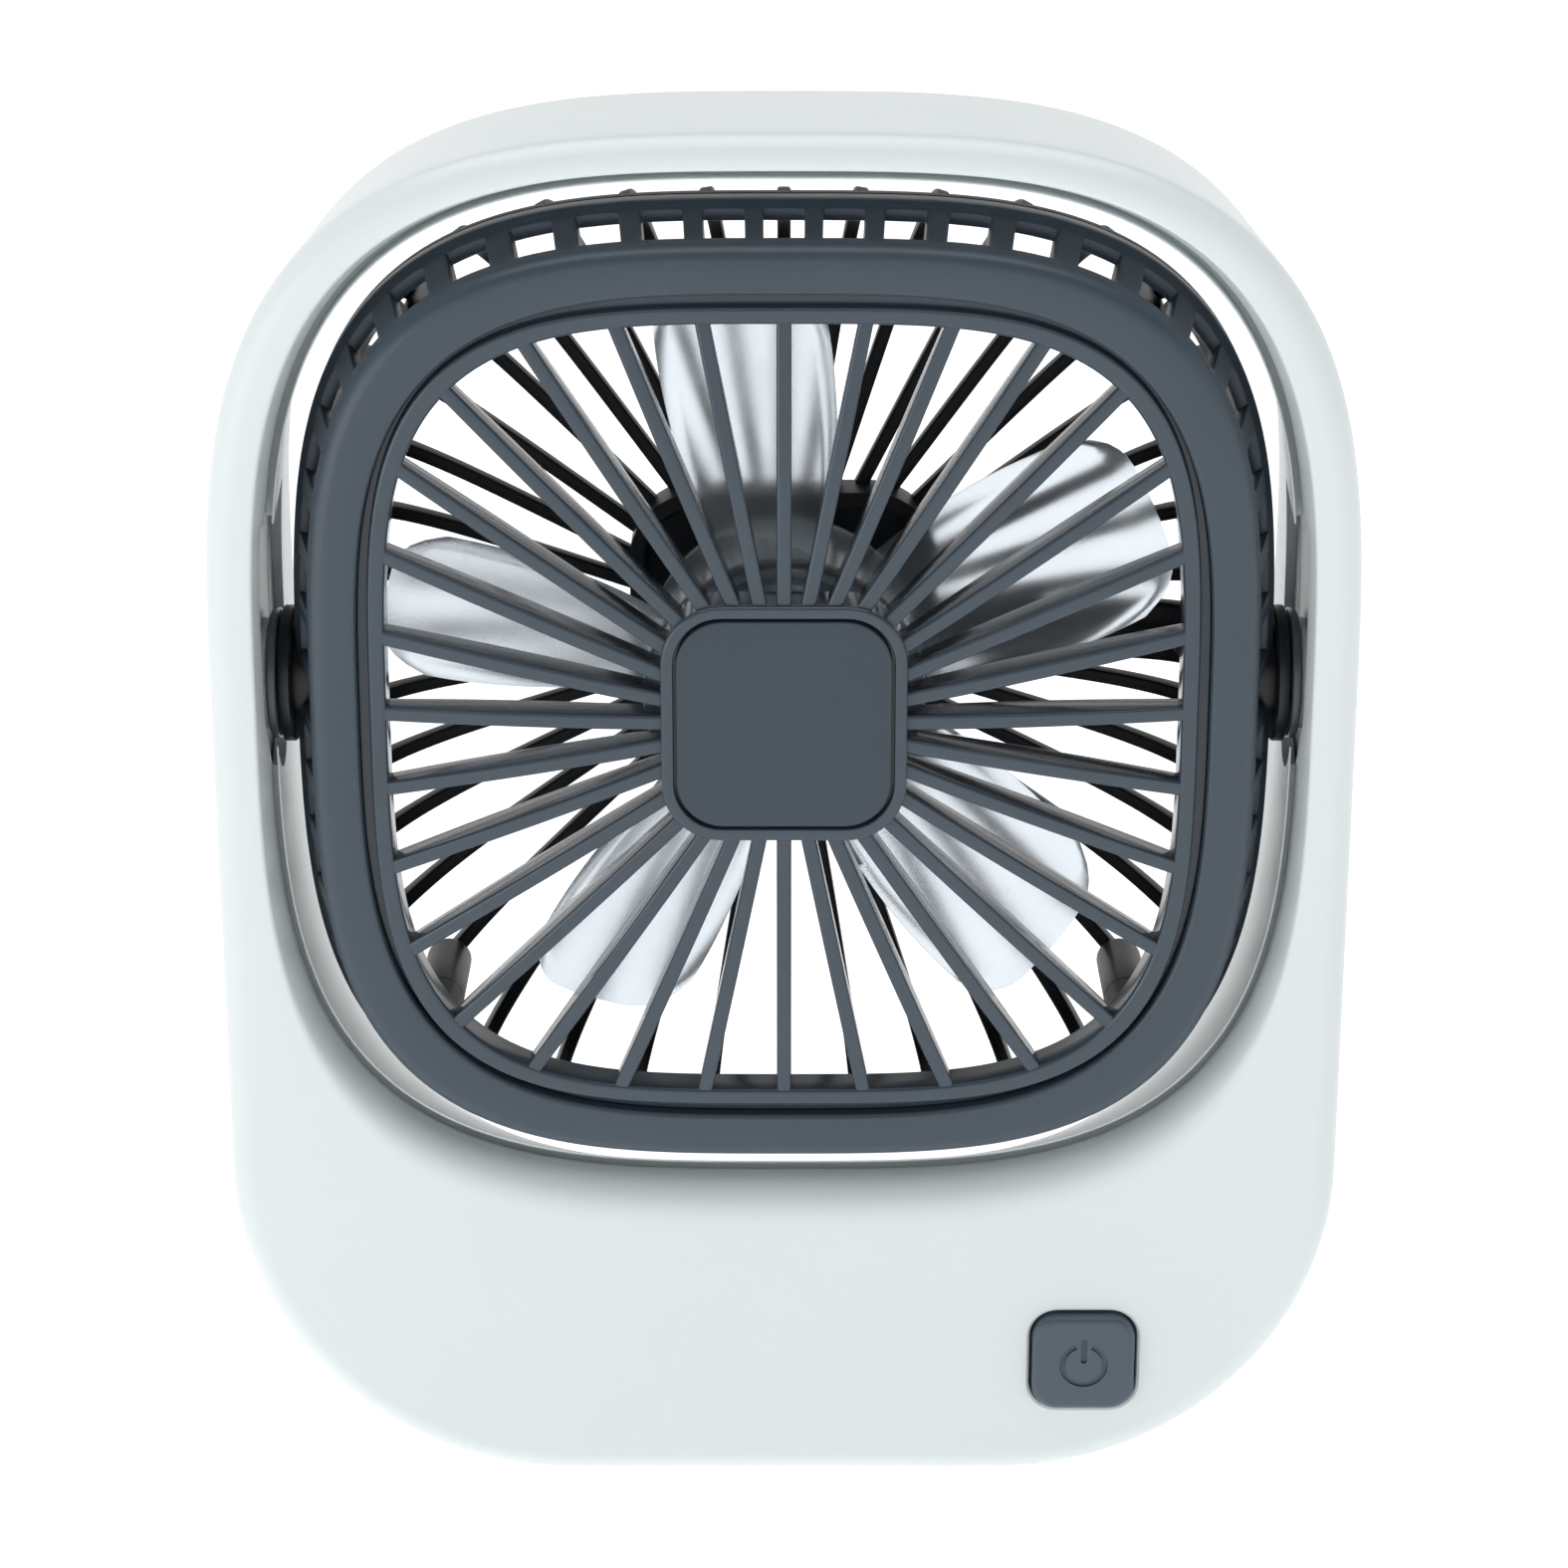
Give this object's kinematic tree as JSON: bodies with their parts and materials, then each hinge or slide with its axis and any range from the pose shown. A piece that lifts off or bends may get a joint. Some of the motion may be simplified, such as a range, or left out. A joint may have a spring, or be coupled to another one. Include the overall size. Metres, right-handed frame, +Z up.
{
  "type": "tilting desk fan",
  "caption": "Small tilting desk fan: a rounded-square fan head on two side trunnions inside a white loop that stands on a thick base with a power button.",
  "frame": {"origin": "middle of the fan's outline on the surface it stands on, at the undersides of the feet", "axes": "+Z up, the fan blows towards -Y, +X is the right side seen from the front, where the button is"},
  "size_m": [0.125, 0.065, 0.157],
  "materials": {
    "shell_white": "satin moulded",
    "head_grey": "fine matte grain",
    "rear_grey": "fine matte grain",
    "cap_grey": "matte",
    "button_grey": "satin",
    "pivot_black": "satin",
    "bush_grey": "satin",
    "blade_clear": "clear polished",
    "rubber": "matte",
    "steel": "zinc plated",
    "copper": "wound wire on laminations",
    "magnet": "sintered",
    "bronze": "sintered",
    "motor_cap": "satin",
    "cell_wrap": "shrink-wrapped",
    "board": "solder mask",
    "black_plastic": "matte",
    "light_pipe": "clear",
    "lead": "matte"
  },
  "bodies": {
    "housing": {"front_shell": "shell_white", "rear_cover": "shell_white", "rubber_feet": "rubber", "housing_screws": "steel", "left_pivot_bush": "bush_grey", "right_pivot_bush": "bush_grey", "battery_cell": "cell_wrap", "battery_holder": "black_plastic", "control_board": "board", "tact_switch": "steel", "charging_board": "board", "usb_port": "steel", "charge_light_pipe": "light_pipe", "board_screws": "steel", "motor_lead_frame": "lead"},
    "head": {"head_front_bezel": "head_grey", "front_grille": "head_grey", "hub_cap": "cap_grey", "head_rear_shell": "rear_grey", "head_screws": "steel", "left_trunnion": "pivot_black", "right_trunnion": "pivot_black", "trunnion_clips": "steel", "motor_can": "steel", "motor_end_cap": "motor_cap", "motor_magnets": "magnet", "motor_bearings": "bronze", "motor_screws": "steel", "motor_lead_head": "lead"},
    "impeller": {"impeller": "blade_clear", "motor_shaft": "steel", "motor_armature": "copper"},
    "power_button": {"power_button": "button_grey", "switch_plunger": "black_plastic"}
  },
  "joints": [
    {"name": "head_tilt", "type": "hinge", "parent": "housing", "child": "head", "pos_m": [0, -0.014, 0.0945], "axis": [1, 0, 0], "range_deg": [-90, 90]},
    {"name": "fan_spin", "type": "hinge", "parent": "head", "child": "impeller", "pos_m": [0, -0.014, 0.0945], "axis": [0, 1, 0], "continuous": true},
    {"name": "button_press", "type": "slide", "parent": "housing", "child": "power_button", "axis": [0, 1, 0], "range_m": [0, 0.0008], "stiffness_N_per_m": 1500}
  ]
}
